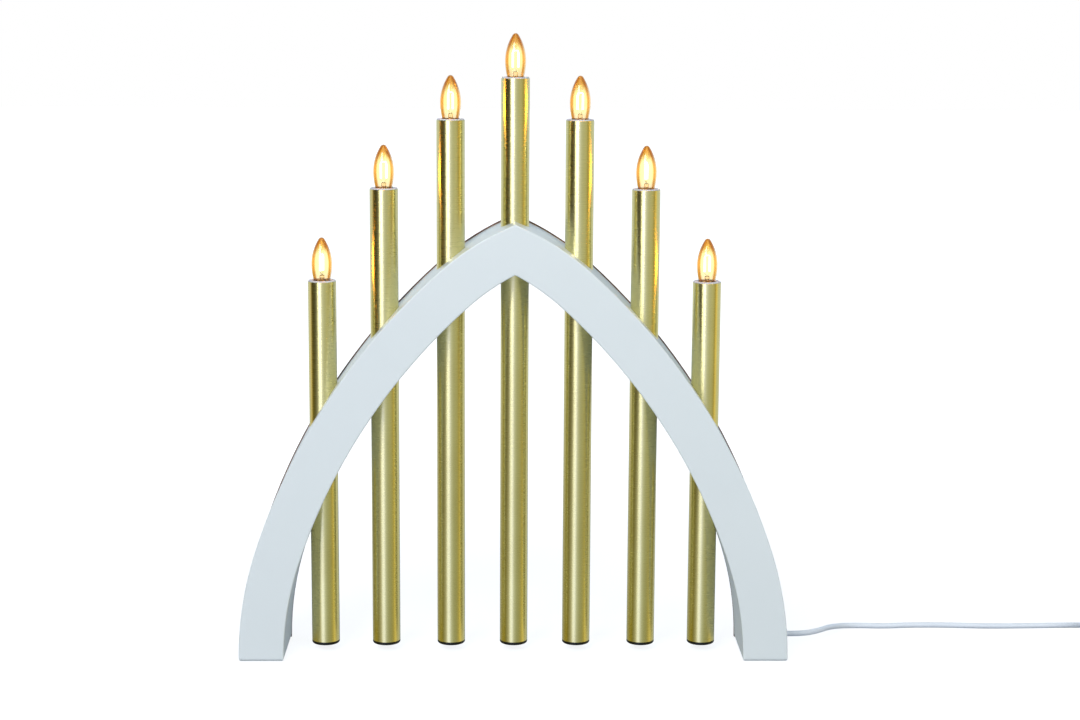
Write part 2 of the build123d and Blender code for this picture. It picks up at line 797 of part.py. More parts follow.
def coil_stretches():
    """Start turn, length in turns, start radius, radial rate, height and kind of each stretch."""
    stretches = []
    start = 0
    for layer in range(coil_layers):
        inward = layer % 2 == 0
        radius = coil_outer_radius if inward else coil_inner_radius
        rate = -coil_pitch if inward else coil_pitch
        height = cord_radius + layer * coil_layer_rise
        stretches.append((start, coil_layer_turns, radius, rate, height, False))
        start += coil_layer_turns
        if layer < coil_layers - 1:
            stretches.append((start, 0.5, radius + rate * coil_layer_turns, rate, height, True))
            start += 0.5
    return stretches


def coil_point(stretch, share):
    """Place on one stretch of the coil, at a share of its length."""
    start, turns, radius, rate, height, climbs = stretch
    if climbs:
        radius += rate * turns * (share - share**2)
        height += coil_layer_rise * (3 * share**2 - 2 * share**3)
    else:
        radius += rate * turns * share
    angle = math.pi / 2 - 2 * math.pi * (start + turns * share)
    x, y = coil_middle
    return Vector(x + radius * math.cos(angle), y + radius * math.sin(angle), height)


def heading(stretch, share):
    """Direction of the cord on a stretch, from two places close together."""
    step = 1e-4
    return (coil_point(stretch, share + step) - coil_point(stretch, share - step)).normalized()


def biarc(start, start_heading, end, end_heading):
    """Draw two tangent arcs that leave one place and reach another in given directions."""
    span = end - start
    both = start_heading + end_heading
    spread = 2 * (1 - start_heading.dot(end_heading))
    reach = (math.sqrt(span.dot(both) ** 2 + spread * span.dot(span)) - span.dot(both)) / spread
    middle = (start + end + (start_heading - end_heading) * reach) * 0.5
    first = TangentArc(start, middle, tangent=start_heading)
    TangentArc(middle, end, tangent=first % 1)


stations = []
for stretch in coil_stretches():
    parts_of_stretch = 2 if stretch[-1] else math.ceil(2 * stretch[1])
    for step in range(parts_of_stretch):
        share = step / parts_of_stretch
        stations.append((coil_point(stretch, share), heading(stretch, share)))
coil_end = coil_point(coil_stretches()[-1], 1)
stations[0] = (stations[0][0], Vector(1, 0, 0))
stations.append((coil_end, Vector(0, -1, 0)))
tail_drop = coil_end.Z - plug_axis_height
tail_start = coil_end - Vector(0, coil_tail_level, 0)
tail_middle = tail_start - Vector(0, coil_tail_drop_length / 2, tail_drop / 2)
tail_end = tail_start - Vector(0, coil_tail_drop_length, tail_drop)
tail_slope = Vector(0, -coil_tail_drop_length, -2 * tail_drop).normalized()
tail_stations = [(tail_start, Vector(0, -1, 0)), (tail_middle, tail_slope), (tail_end, Vector(0, -1, 0))]
coil_start = stations[0][0] - Vector(cord_diameter, 0, 0)
coil_finish = tail_end - Vector(0, cord_diameter, 0)
with BuildPart() as cord_coil:
    with BuildLine() as winding:
        Line(coil_start, stations[0][0])
        for (start, start_heading), (end, end_heading) in zip(stations, stations[1:]):
            biarc(start, start_heading, end, end_heading)
        Line(coil_end, tail_start)
        for (start, start_heading), (end, end_heading) in zip(tail_stations, tail_stations[1:]):
            biarc(start, start_heading, end, end_heading)
        Line(tail_end, coil_finish)
    with BuildSketch(Plane(origin=coil_start, z_dir=(1, 0, 0))):
        RegularPolygon(cord_radius, coil_sides)
    sweep(path=winding.wire())
save(cord_coil, "cord_coil")

winding_wire = winding.wire()
coil_length = winding_wire.length
samples = [winding_wire @ (number / 1500) for number in range(1501)]
apart = int(6 * cord_diameter / coil_length * 1500)
least_gap = min(
    (samples[later] - samples[earlier]).length
    for earlier in range(0, 1501)
    for later in range(earlier + apart, 1501)
)
print("coil length", round(coil_length), "least gap to itself", round(least_gap - cord_diameter, 2))
print("cord length", round(free_length + coil_length), "and inside the foot", round(inner_length))

# Flat two pin plug, moulded with its tapered strain relief
plug_x = coil_finish.X
relief_end = coil_finish.Y - plug_relief_length
plug_face = relief_end - plug_length
with BuildPart() as plug_body:
    with BuildSketch(Plane.XY.offset(plug_axis_height)):
        with BuildLine():
            Polyline(
                (plug_x + plug_cord_end_width / 2, relief_end),
                (plug_x + plug_waist_width / 2, relief_end - plug_length / 3),
                (plug_x + plug_width / 2, plug_face + plug_length / 3),
                (plug_x + plug_width / 2, plug_face),
                (plug_x - plug_width / 2, plug_face),
                (plug_x - plug_width / 2, plug_face + plug_length / 3),
                (plug_x - plug_waist_width / 2, relief_end - plug_length / 3),
                (plug_x - plug_cord_end_width / 2, relief_end),
                close=True,
            )
        make_face()
    extrude(amount=plug_thickness / 2, both=True)
    fillet(plug_body.edges().filter_by(Axis.Z), plug_edge_round)
    fillet(plug_body.edges().group_by(Axis.Z)[-1], plug_edge_round / 2)
    fillet(plug_body.edges().group_by(Axis.Z)[0], plug_edge_round / 2)
    with BuildSketch(Plane((plug_x, relief_end, plug_axis_height), z_dir=(0, 1, 0))):
        Circle(plug_relief_diameter / 2)
    with BuildSketch(Plane((plug_x, coil_finish.Y, plug_axis_height), z_dir=(0, 1, 0))):
        Circle(plug_relief_tip_diameter / 2)
    loft()
    pin_planes = [
        Plane((plug_x + side * pin_spacing / 2, plug_face, plug_axis_height), z_dir=(0, -1, 0))
        for side in (-1, 1)
    ]
    with Locations(*pin_planes):
        Cylinder(pin_sleeve_diameter / 2, pin_sleeve_length, align=from_bottom)
    pin_neck_planes = [plane.offset(pin_sleeve_length) for plane in pin_planes]
    with Locations(*pin_neck_planes):
        Hole(pin_core_diameter / 2, depth=pin_sleeve_length + pin_root)
save(plug_body, "plug_body")

# Pins, each with a thin core in the body and its insulating sleeve, and a bare metal end
with BuildPart() as plug_pins:
    with Locations(*[plane.offset(-pin_root) for plane in pin_planes]):
        Cylinder(pin_core_diameter / 2, pin_root + pin_sleeve_length, align=from_bottom)
    with Locations(*pin_neck_planes):
        Cylinder(pin_diameter / 2, pin_length - pin_sleeve_length, align=from_bottom)
    fillet(plug_pins.edges().group_by(Axis.Y)[0], pin_tip_round)
save(plug_pins, "plug_pins")

print(len(names), "nodes")
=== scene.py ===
import math
import bmesh
import bpy
from mathutils import Matrix, Vector


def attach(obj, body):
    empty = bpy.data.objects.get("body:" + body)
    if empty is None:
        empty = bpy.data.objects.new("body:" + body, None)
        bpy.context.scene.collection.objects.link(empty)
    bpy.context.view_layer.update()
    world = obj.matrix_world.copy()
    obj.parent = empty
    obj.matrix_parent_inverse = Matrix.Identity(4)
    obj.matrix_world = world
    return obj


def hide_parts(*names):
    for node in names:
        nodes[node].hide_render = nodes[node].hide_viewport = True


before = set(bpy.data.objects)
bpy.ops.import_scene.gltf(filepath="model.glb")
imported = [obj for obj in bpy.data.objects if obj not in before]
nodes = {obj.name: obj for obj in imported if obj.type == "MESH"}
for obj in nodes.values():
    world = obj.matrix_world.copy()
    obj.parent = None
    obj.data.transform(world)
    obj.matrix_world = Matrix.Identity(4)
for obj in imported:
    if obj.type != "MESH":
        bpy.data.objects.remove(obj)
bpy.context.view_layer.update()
scene = bpy.context.scene
scene.view_settings.view_transform = "Standard"
mm = 0.001
weldDistance = 1e-7
print("frame loaded,", len(nodes), "nodes")

# Camera, where the photograph was taken from
cameraView = {
    "place": (-11.7, -1527.0, 476.0),
    "lens": 72.53,
    "sensor": 36.0,
    "turn": -1.12,
    "downward": 9.76,
    "roll": 0.32,
}


def makeCamera(view):
    turn, down, roll = (math.radians(view[k]) for k in ("turn", "downward", "roll"))
    aim = Matrix.Rotation(turn, 4, "Z") @ Matrix.Rotation(math.pi / 2 - down, 4, "X")
    data = bpy.data.cameras.new("camera")
    data.lens = view["lens"]
    data.sensor_width = view["sensor"]
    camera = bpy.data.objects.new("camera", data)
    scene.collection.objects.link(camera)
    camera.matrix_world = (
        Matrix.Translation(Vector(view["place"]) * mm) @ aim @ Matrix.Rotation(roll, 4, "Z")
    )
    scene.camera = camera


makeCamera(cameraView)
print("camera placed")


# Helpers that turn points and profiles into pieces, in millimetres
def finishMesh(name, mesh, sharpAngle=32):
    body = bmesh.new()
    body.from_mesh(mesh)
    bmesh.ops.remove_doubles(body, verts=body.verts, dist=weldDistance)
    bmesh.ops.recalc_face_normals(body, faces=body.faces)
    body.to_mesh(mesh)
    body.free()
    mesh.shade_smooth()
    mesh.set_sharp_from_angle(angle=math.radians(sharpAngle))
    piece = bpy.data.objects.new(name, mesh)
    scene.collection.objects.link(piece)
    return piece


def addPiece(name, shapes, sharpAngle=32):
    verts, faces = [], []
    for points, loops in shapes:
        base = len(verts)
        verts += [Vector(p) * mm for p in points]
        faces += [[base + i for i in loop] for loop in loops]
    mesh = bpy.data.meshes.new(name)
    mesh.from_pydata(verts, [], faces)
    return finishMesh(name, mesh, sharpAngle)


def ringFaces(rows, steps):
    faces = []
    for row in range(rows - 1):
        near, far = row * steps, (row + 1) * steps
        faces += [
            (near + s, near + (s + 1) % steps, far + (s + 1) % steps, far + s) for s in range(steps)
        ]
    return faces


def lathe(profile, steps=64, place=(0, 0, 0)):
    x, y, z = place
    turns = [2 * math.pi * s / steps for s in range(steps)]
    points = [(x + r * math.cos(a), y + r * math.sin(a), z + h) for r, h in profile for a in turns]
    return points, ringFaces(len(profile), steps)


def arc(centre, radius, start, end, steps):
    x, y = centre
    turns = [math.radians(start + (end - start) * s / steps) for s in range(steps + 1)]
    return [(x + radius * math.cos(a), y + radius * math.sin(a)) for a in turns]


def turned(points, angle, place):
    c, s = math.cos(math.radians(angle)), math.sin(math.radians(angle))
    px, py, pz = place
    return [(px + x * c - y * s, py + x * s + y * c, pz + z) for x, y, z in points]


def rod(path, radius, sides=10):
    points = []
    path = [Vector(p) for p in path]
    side = Vector((0, 1, 0))
    for number, here in enumerate(path):
        ahead = (path[min(number + 1, len(path) - 1)] - path[max(number - 1, 0)]).normalized()
        across = (side - ahead * side.dot(ahead)).normalized()
        other = ahead.cross(across)
        for s in range(sides):
            a = 2 * math.pi * s / sides
            points.append(here + (across * math.cos(a) + other * math.sin(a)) * radius)
    ends = [tuple(range(sides)), tuple(len(points) - 1 - s for s in range(sides))]
    return points, ringFaces(len(path), sides) + ends


def dress(piece, material, body="arch", replaced=()):
    piece.data.materials.clear()
    piece.data.materials.append(material)
    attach(piece, body)
    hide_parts(*replaced)
    return piece


# Helpers for node trees
def addNode(tree, kind, inputs=None, **settings):
    made = tree.nodes.new(kind)
    for key, value in settings.items():
        setattr(made, key, value)
    for key, value in (inputs or {}).items():
        if isinstance(value, bpy.types.NodeSocket):
            tree.links.new(value, made.inputs[key])
        else:
            made.inputs[key].default_value = value
    return made


def newTree(name, kind, inputs, outputs):
    tree = bpy.data.node_groups.new(name, kind)
    for direction, sockets in (("INPUT", inputs), ("OUTPUT", outputs)):
        for label, kindOfSocket in sockets.items():
            socket = "NodeSocket" + kindOfSocket
            tree.interface.new_socket(label, in_out=direction, socket_type=socket)
    return tree, addNode(tree, "NodeGroupInput").outputs, addNode(tree, "NodeGroupOutput").inputs


def addMix(tree, share, first, second):
    colours = [c if isinstance(c, bpy.types.NodeSocket) else (*c, 1) for c in (first, second)]
    mix = addNode(
        tree, "ShaderNodeMix", {0: share, 6: colours[0], 7: colours[1]}, data_type="RGBA"
    )
    return mix.outputs[2]


def addRange(tree, value, low, high, first=0.0, last=1.0, smooth=True):
    ranged = addNode(
        tree,
        "ShaderNodeMapRange",
        {"Value": value, "From Min": low, "From Max": high, "To Min": first, "To Max": last},
        interpolation_type="SMOOTHSTEP" if smooth else "LINEAR",
    )
    return ranged.outputs[0]


def addMath(tree, operation, a, b=0.0):
    return addNode(tree, "ShaderNodeMath", {0: a, 1: b}, operation=operation).outputs[0]


def placeGroup(tree, group, inputs):
    return addNode(tree, "ShaderNodeGroup", inputs, node_tree=group)


# Shared patterns: drifting tone, and grain that is stretched along a direction
patterns = {
    "toneDetail": 5.0,
    "toneSpread": (0.3, 0.7),
    "grainRoughness": 0.6,
    "grainSpread": (0.25, 0.75),
}


def makeToneGroup():
    tree, given, result = newTree(
        "driftingTone",
        "ShaderNodeTree",
        {"Vector": "Vector", "Scale": "Float", "Light": "Color", "Dark": "Color"},
        {"Color": "Color", "Mask": "Float"},
    )
    noise = addNode(
        tree,
        "ShaderNodeTexNoise",
        {"Vector": given["Vector"], "Scale": given["Scale"], "Detail": patterns["toneDetail"]},
    )
    spread = addRange(tree, noise.outputs["Fac"], *patterns["toneSpread"], smooth=False)
    tree.links.new(addMix(tree, spread, given["Light"], given["Dark"]), result["Color"])
    tree.links.new(spread, result["Mask"])
    return tree


def makeGrainGroup():
    tree, given, result = newTree(
        "grain",
        "ShaderNodeTree",
        {
            "Vector": "Vector",
            "Stretch": "Vector",
            "Detail": "Float",
            "Low": "Float",
            "High": "Float",
        },
        {"Value": "Float", "Height": "Float"},
    )
    scaled = addNode(
        tree,
        "ShaderNodeVectorMath",
        {0: given["Vector"], 1: given["Stretch"]},
        operation="MULTIPLY",
    )
    noise = addNode(
        tree,
        "ShaderNodeTexNoise",
        {
            "Vector": scaled.outputs[0],
            "Scale": 1.0,
            "Detail": given["Detail"],
            "Roughness": patterns["grainRoughness"],
        },
    ).outputs["Fac"]
    low, high = patterns["grainSpread"]
    ranged = addRange(tree, noise, low, high, given["Low"], given["High"], smooth=False)
    tree.links.new(ranged, result["Value"])
    tree.links.new(noise, result["Height"])
    return tree


toneGroup = makeToneGroup()
grainGroup = makeGrainGroup()


# Materials: one Principled shader each, with patterns on object coordinates
def newMaterial(name, values):
    material = bpy.data.materials.new(name)
    material.use_nodes = True
    shader = material.node_tree.nodes["Principled BSDF"]
    for socket, value in values.items():
        shader.inputs[socket].default_value = value
    return material, material.node_tree, shader


def objectPlace(tree):
    return addNode(tree, "ShaderNodeTexCoord").outputs["Object"]


def addTone(tree, shader, place, scale, light, dark):
    tone = placeGroup(
        tree,
        toneGroup,
        {"Vector": place, "Scale": scale, "Light": (*light, 1), "Dark": (*dark, 1)},
    )
    tree.links.new(tone.outputs["Color"], shader.inputs["Base Color"])
    return tone


def addGrain(tree, place, stretch, detail, low, high):
    return placeGroup(
        tree,
        grainGroup,
        {"Vector": place, "Stretch": stretch, "Detail": detail, "Low": low, "High": high},
    )


def addBump(tree, shader, height, strength, distance):
    bump = addNode(
        tree, "ShaderNodeBump", {"Height": height, "Strength": strength, "Distance": distance * mm}
    )
    tree.links.new(bump.outputs[0], shader.inputs["Normal"])


def makeFinish(name, values, light, dark, toneScale, stretch, roughness, bump, detail=3.0):
    material, tree, shader = newMaterial(name, values)
    place = objectPlace(tree)
    addTone(tree, shader, place, toneScale, light, dark)
    grain = addGrain(tree, place, stretch, detail, *roughness)
    tree.links.new(grain.outputs["Value"], shader.inputs["Roughness"])
    addBump(tree, shader, grain.outputs["Height"], *bump)
    return material


finishes = {
    "whitePaint": dict(
        values={"Coat Weight": 0.25, "Coat Roughness": 0.12},
        light=(0.873, 0.92, 0.905),
        dark=(0.852, 0.902, 0.89),
        toneScale=14.0,
        stretch=(900, 900, 900),
        roughness=(0.34, 0.42),
        bump=(0.12, 0.02),
    ),
    "brushedBrass": dict(
        values={"Metallic": 1.0, "Anisotropic": 0.94, "Anisotropic Rotation": 0.25},
        light=(0.76, 0.71, 0.35),
        dark=(0.71, 0.65, 0.31),
        toneScale=30.0,
        stretch=(40, 40, 2600),
        roughness=(0.26, 0.31),
        bump=(0.012, 0.002),
    ),
    "brownBoard": dict(
        values={},
        light=(0.22, 0.115, 0.07),
        dark=(0.15, 0.075, 0.048),
        toneScale=160.0,
        stretch=(1400, 1400, 1400),
        roughness=(0.6, 0.8),
        bump=(0.5, 0.08),
    ),
    "rawWood": dict(
        values={},
        light=(0.55, 0.36, 0.19),
        dark=(0.44, 0.27, 0.13),
        toneScale=40.0,
        stretch=(700, 700, 60),
        roughness=(0.6, 0.75),
        bump=(0.4, 0.08),
    ),
    "blackPlastic": dict(
        values={"Specular IOR Level": 0.25},
        light=(0.004, 0.005, 0.006),
        dark=(0.007, 0.008, 0.009),
        toneScale=120.0,
        stretch=(1500, 1500, 1500),
        roughness=(0.3, 0.42),
        bump=(0.15, 0.02),
    ),
    "whitePlastic": dict(
        values={"Subsurface Weight": 0.1, "Subsurface Scale": 0.002},
        light=(0.74, 0.72, 0.78),
        dark=(0.70, 0.68, 0.74),
        toneScale=60.0,
        stretch=(1300, 1300, 1300),
        roughness=(0.36, 0.46),
        bump=(0.1, 0.02),
    ),
    "contactBrass": dict(
        values={"Metallic": 1.0},
        light=(0.80, 0.62, 0.28),
        dark=(0.70, 0.52, 0.22),
        toneScale=200.0,
        stretch=(1500, 1500, 1500),
        roughness=(0.22, 0.35),
        bump=(0.1, 0.02),
    ),
    "capNickel": dict(
        values={"Metallic": 1.0},
        light=(0.74, 0.72, 0.68),
        dark=(0.66, 0.64, 0.60),
        toneScale=220.0,
        stretch=(900, 900, 1600),
        roughness=(0.2, 0.34),
        bump=(0.1, 0.02),
    ),
    "insulator": dict(
        values={"Coat Weight": 0.6},
        light=(0.016, 0.015, 0.022),
        dark=(0.028, 0.026, 0.036),
        toneScale=300.0,
        stretch=(1500, 1500, 1500),
        roughness=(0.12, 0.2),
        bump=(0.05, 0.02),
    ),
    "wireInsulation": dict(
        values={},
        light=(0.70, 0.70, 0.68),
        dark=(0.64, 0.64, 0.62),
        toneScale=90.0,
        stretch=(900, 900, 900),
        roughness=(0.4, 0.5),
        bump=(0.1, 0.03),
    ),
    "cordWhite": dict(
        values={"Coat Weight": 0.15, "Coat Roughness": 0.3},
        light=(0.90, 0.95, 1.0),
        dark=(0.87, 0.92, 0.98),
        toneScale=40.0,
        stretch=(700, 700, 700),
        roughness=(0.36, 0.46),
        bump=(0.12, 0.03),
    ),
    "zincSteel": dict(
        values={"Metallic": 1.0},
        light=(0.62, 0.62, 0.60),
        dark=(0.50, 0.50, 0.50),
        toneScale=500.0,
        stretch=(1800, 1800, 1800),
        roughness=(0.3, 0.45),
        bump=(0.2, 0.02),
    ),
    "pinNickel": dict(
        values={"Metallic": 1.0},
        light=(0.76, 0.74, 0.70),
        dark=(0.68, 0.66, 0.62),
        toneScale=200.0,
        stretch=(400, 2200, 400),
        roughness=(0.2, 0.32),
        bump=(0.1, 0.02),
    ),
}
looks = {name: makeFinish(name, **finish) for name, finish in finishes.items()}

glow = {
    "rodColor": (1.0, 0.78, 0.42),
    "rodStrength": 7.0,
    "rodRoughness": 0.5,
    "rodTone": (900.0, (1.0, 0.8, 0.45), (1.0, 0.72, 0.36)),
    "refraction": 1.45,
    "clear": (1.0, 0.94, 0.64),
    "rim": (0.47, 0.15, 0.006),
    # painted light: the glass rim is paler and cooler on the +X side
    "paintedSideRim": (0.72, 0.46, 0.20),
    "tip": (0.92, 0.62, 0.20),
    "smoke": (0.60, 0.35, 0.17),
    "foot": (1.0, 0.88, 0.66),
    # painted glow: emission on the glass, and a stronger painted reflection of it for glossy rays
    "paintedGlow": (1.0, 0.62, 0.12),
    "paintedGlowReflection": (190.0, 62.0, 3.0),
    "paintedGlowStrength": 0.12,
    "paintedGlowMiddle": 0.44,
    "paintedGlowSpread": 0.36,
    "streaks": (24.0, 3.0, 1.0),
    "streakDetail": 4.0,
    "rimFrom": (0.19, 0.38),
    "paintedSideFrom": (0.1, 0.8),
    "tipFrom": (0.60, 0.90),
    "smokeFrom": (0.45, 0.7),
    "footFrom": (0.26, 0.05),
}


def makeRodLight():
    material, tree, shader = newMaterial(
        "rodLight",
        {
            "Roughness": glow["rodRoughness"],
            "Emission Color": (*glow["rodColor"], 1),
            "Emission Strength": glow["rodStrength"],
        },
    )
    addTone(tree, shader, objectPlace(tree), *glow["rodTone"])
    return material


# Lamp glass: clear in the middle, amber at the rim and tip, with a painted glow from the rods on it
def makeGlass():
    g = glow
    material, tree, shader = newMaterial(
        "lampGlass",
        {
            "Roughness": 0.0,
            "IOR": g["refraction"],
            "Transmission Weight": 1.0,
            "Emission Strength": g["paintedGlowStrength"],
        },
    )
    chart = addNode(tree, "ShaderNodeUVMap", uv_map="glassChart").outputs[0]
    height = addNode(tree, "ShaderNodeSeparateXYZ", {0: chart}).outputs["Y"]
    facing = addNode(tree, "ShaderNodeLayerWeight", {"Blend": 0.5}).outputs["Facing"]
    normal = addNode(tree, "ShaderNodeNewGeometry").outputs["Normal"]
    across = addNode(tree, "ShaderNodeSeparateXYZ", {0: normal}).outputs["X"]
    streaks = addGrain(tree, chart, g["streaks"], g["streakDetail"], 0.0, 1.0).outputs["Value"]
    rim = addRange(tree, facing, *g["rimFrom"])
    tip = addRange(tree, height, *g["tipFrom"])
    smoke = addMath(tree, "MULTIPLY", tip, addRange(tree, streaks, *g["smokeFrom"]))
    foot = addRange(tree, height, *g["footFrom"])

    # painted light: rim tone shifts to the paler side colour as the normal turns to +X
    rimTone = addMix(tree, addRange(tree, across, *g["paintedSideFrom"]), g["rim"], g["paintedSideRim"])
    rimTone = addMix(tree, tip, rimTone, g["rim"])
    ground = addMix(tree, foot, g["clear"], g["foot"])
    ground = addMix(tree, tip, ground, g["tip"])
    ground = addMix(tree, smoke, ground, g["smoke"])
    tree.links.new(addMix(tree, rim, ground, rimTone), shader.inputs["Base Color"])

    # Painted glow: a faint glow band on the glass to the eye, and a much stronger painted
    # reflection of it in the neighbouring tubes, as mirrored flames are
    offset = addMath(tree, "ABSOLUTE", addMath(tree, "SUBTRACT", height, g["paintedGlowMiddle"]))
    window = addRange(tree, offset, g["paintedGlowSpread"], 0.0)
    rays = addNode(tree, "ShaderNodeLightPath").outputs
    mirrored = addMath(tree, "SUBTRACT", rays["Is Glossy Ray"], rays["Is Transmission Ray"])
    firstMirror = addMath(tree, "LESS_THAN", rays["Ray Depth"], 1.5)
    mirrored = addMath(tree, "MAXIMUM", addMath(tree, "MULTIPLY", mirrored, firstMirror), 0.0)
    # painted reflection of the glow, seen by the first glossy bounce only
    paintedGlow = addMix(tree, mirrored, g["paintedGlow"], g["paintedGlowReflection"])
    paintedGlow = addMix(tree, window, (0, 0, 0), paintedGlow)
    tree.links.new(paintedGlow, shader.inputs["Emission Color"])
    return material


looks["rodLight"] = makeRodLight()
looks["lampGlass"] = makeGlass()
print("materials made,", len(looks))

# Arch: front, rims and rounded front corners in one painted skin, hollow inside
archShape = {
    "width": 392.0,
    "depth": 64.0,
    "band": 32.0,
    "arcs": ((258.0, 18), (460.0, 48), (190.0, 90)),
    "wall": 3.0,
    "coverThickness": 3.0,
    "cornerRound": 0.8,
    "cornerSteps": 4,
    "cornerEase": 0.5,
    "footRound": 2.6,
    "footSteps": 5,
    "stations": 76,
    "lastTurn": 61.6,
    "tubeHole": 10.2,
    "holeSteps": 64,
    "holeEnd": 4.0,
    "sharpAngle": 30,
}


def sideArcs():
    arcs, shape = [], archShape["arcs"]
    x, z = archShape["width"] / 2 - shape[0][0], 0
    for number, (radius, end) in enumerate(shape):
        arcs.append((x, z, radius, end))
        if number < len(shape) - 1:
            step, turn = radius - shape[number + 1][0], math.radians(end)
            x, z = x + step * math.cos(turn), z + step * math.sin(turn)
    return arcs


def bandPoint(turn, depth):
    for x, z, radius, end in sideArcs():
        if turn <= end:
            a = math.radians(turn)
            return x + (radius - depth) * math.cos(a), z + (radius - depth) * math.sin(a)


def crownTurn(depth):
    x, _, radius, _ = sideArcs()[-1]
    return math.degrees(math.acos(-x / (radius - depth)))


def archSection():
    s = archShape
    front, back = -s["depth"] / 2, s["depth"] / 2 - s["coverThickness"]
    r, ease, wall, band = s["cornerRound"], s["cornerEase"], s["wall"], s["band"]
    outer = arc((r, front + r), r, 180, 270, s["cornerSteps"])
    inner = arc((band - r, front + r), r, 270, 360, s["cornerSteps"])
    skin = [(0, back), (0, front + r + ease)] + outer
    skin += [(r + ease, front), (band - r - ease, front)]
    skin += inner + [(band, front + r + ease), (band, back)]
    cavity = [(band - wall, back), (band - wall, front + wall), (wall, front + wall), (wall, back)]
    return skin, cavity


def eased(depth, y, height):
    r, band = archShape["footRound"], archShape["band"]
    inset = r - math.sqrt(r**2 - max(0, r - height) ** 2)
    return min(max(depth, inset), band - inset), max(y, inset - archShape["depth"] / 2)


def archStations(skin, cavity):
    s = archShape
    stations = []
    for height in [s["footRound"] * k / s["footSteps"] for k in range(s["footSteps"] + 1)]:
        rounded = [eased(depth, y, height) for depth, y in skin]
        stations.append([(s["width"] / 2 - depth, y, height) for depth, y in rounded + cavity])
    turns = [s["lastTurn"] * k / (s["stations"] - 1) for k in range(1, s["stations"])] + [None]
    for turn in turns:
        station = []
        for depth, y in skin + cavity:
            x, z = bandPoint(crownTurn(depth) if turn is None else turn, depth)
            station.append((x, y, z))
        stations.append(station)
    return stations


def makeDrill():
    hole, steps = archShape["tubeHole"], archShape["holeSteps"]
    ends = [tuple(range(steps)), tuple(range(2 * steps - 1, steps - 1, -1))]
    shapes = []
    for x, top in tubes["tops"]:
        points, faces = lathe([(hole, 0), (hole, top - archShape["holeEnd"])], steps, (x, 0, 0))
        shapes.append((points, faces + ends))
    return addPiece("drill", shapes)


def makeArch():
    skin, cavity = archSection()
    count = len(skin) + len(cavity)
    right = archStations(skin, cavity)
    left = [[(-x, y, z) for x, y, z in station] for station in right]
    stations = left + right[-2::-1]
    points = [p for station in stations for p in station]
    lastEnd = tuple(len(points) - 1 - i for i in range(count))
    faces = [tuple(range(count)), *ringFaces(len(stations), count), lastEnd]
    solid = addPiece("archSkin", [(points, faces)])
    drill = makeDrill()
    cut = solid.modifiers.new("holes", "BOOLEAN")
    cut.operation, cut.solver, cut.object = "DIFFERENCE", "EXACT", drill
    graph = bpy.context.evaluated_depsgraph_get()
    mesh = bpy.data.meshes.new_from_object(solid.evaluated_get(graph))
    for spare in (solid, drill):
        bpy.data.objects.remove(spare)
    mesh.shade_smooth()
    mesh.set_sharp_from_angle(angle=math.radians(archShape["sharpAngle"]))
    piece = bpy.data.objects.new("archShell", mesh)
    scene.collection.objects.link(piece)
    rims = [f"{rim}_rim_{side}" for rim in ("outer", "inner") for side in ("left", "right")]
    return dress(piece, looks["whitePaint"], "arch", ["front_panel", *rims])


# Lamp tubes, grown by a node tree from a rounded wall section on a circle
tubes = {
    "radius": 10.0,
    "wall": 0.8,
    "edgeRound": 0.18,
    "bottom": 7.4,
    "tops": [
        (-136.22, 269.569),
        (-92.218, 334.95),
        (-45.276, 383.419),
        (0.0, 412.5),
        (45.276, 383.419),
        (92.218, 334.95),
        (136.22, 269.569),
    ],
    "segments": 96,
}


def growPiece(name, tree, values, points=()):
    mesh = bpy.data.meshes.new(name)
    mesh.from_pydata([Vector(p) * mm for p in points], [], [])
    seed = bpy.data.objects.new(name + "Seed", mesh)
    scene.collection.objects.link(seed)
    grower = seed.modifiers.new("grow", "NODES")
    grower.node_group = tree
    keys = {i.name: i.identifier for i in tree.interface.items_tree if i.in_out == "INPUT"}
    for label, value in values.items():
        grower[keys[label]] = value
    graph = bpy.context.evaluated_depsgraph_get()
    grown = bpy.data.meshes.new_from_object(seed.evaluated_get(graph))
    seed.modifiers.clear()
    bpy.data.objects.remove(seed)
    return finishMesh(name, grown)


def endTree(tree, geometry, given, result):
    real = addNode(tree, "GeometryNodeRealizeInstances", {"Geometry": geometry})
    painted = addNode(
        tree,
        "GeometryNodeSetMaterial",
        {"Geometry": real.outputs[0], "Material": given["Material"]},
    )
    tree.links.new(painted.outputs[0], result["Geometry"])


